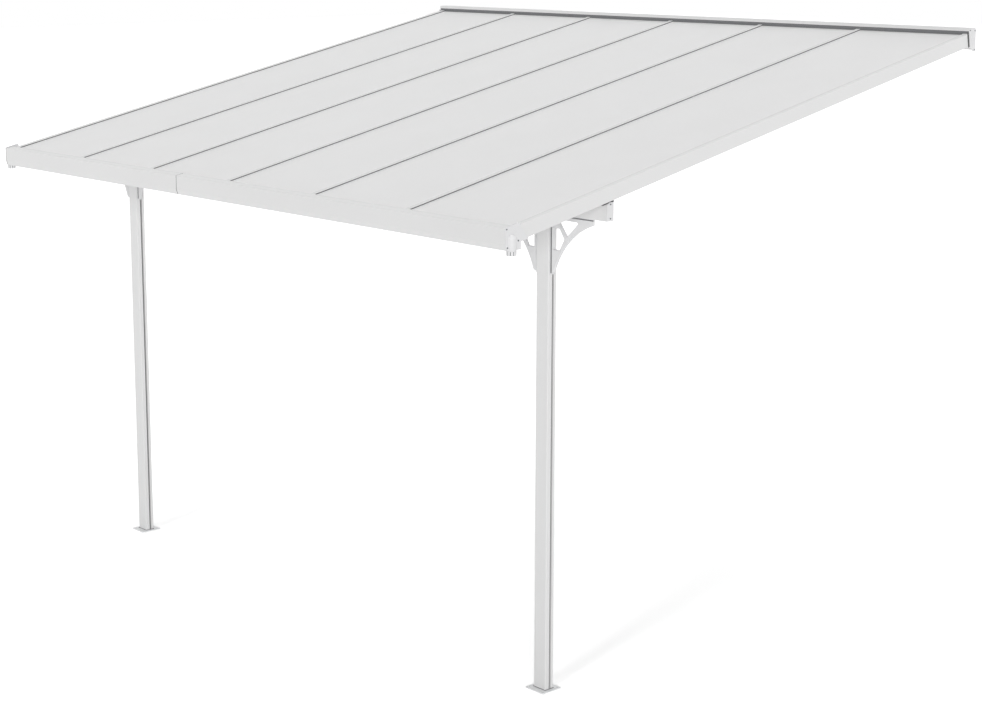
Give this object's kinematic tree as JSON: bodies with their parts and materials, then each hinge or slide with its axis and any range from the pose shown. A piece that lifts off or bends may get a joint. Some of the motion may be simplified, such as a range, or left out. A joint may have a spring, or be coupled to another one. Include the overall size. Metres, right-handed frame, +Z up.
{
  "type": "attached patio cover",
  "caption": "Lean-to patio cover: a gently sloping roof of opal sheets between slim rafters, hung on a wall and carried in front by a beam on posts with arched brackets and a gutter.",
  "frame": {"origin": "middle of the wall bar's back face, on the wall", "axes": "+X along the wall to the right seen from the front, +Y into the wall, +Z up; the ground is at Z = -3.025 m"},
  "size_m": [4.294, 3.395, 3.086],
  "materials": {
    "white_aluminium": "satin white powder coat",
    "white_moulding": "moulded white plastic",
    "white_steel": "satin white powder coat",
    "opal_sheet": "opal twin-wall sheet"
  },
  "bodies": {
    "root": {"wall_bar": "white_aluminium", "wall_bar_cap_left": "white_moulding", "wall_bar_cap_right": "white_moulding", "side_rafter_left": "white_aluminium", "side_rafter_right": "white_aluminium", "rafter_1": "white_aluminium", "rafter_2": "white_aluminium", "rafter_3": "white_aluminium", "rafter_4": "white_aluminium", "rafter_5": "white_aluminium", "roof_panel_1": "opal_sheet", "roof_panel_2": "opal_sheet", "roof_panel_3": "opal_sheet", "roof_panel_4": "opal_sheet", "roof_panel_5": "opal_sheet", "roof_panel_6": "opal_sheet", "gutter_left": "white_aluminium", "gutter_right": "white_aluminium", "gutter_joint": "white_moulding", "gutter_cap_left": "white_moulding", "gutter_cap_right": "white_moulding", "support_beam": "white_aluminium", "beam_cap_left": "white_moulding", "beam_cap_right": "white_moulding", "beam_seats": "white_moulding", "post_left": "white_aluminium", "post_right": "white_aluminium", "bracket_left_outer": "white_moulding", "bracket_left_inner": "white_moulding", "bracket_right_inner": "white_moulding", "bracket_right_outer": "white_moulding", "foot_left": "white_steel", "foot_right": "white_steel"}
  },
  "joints": []
}
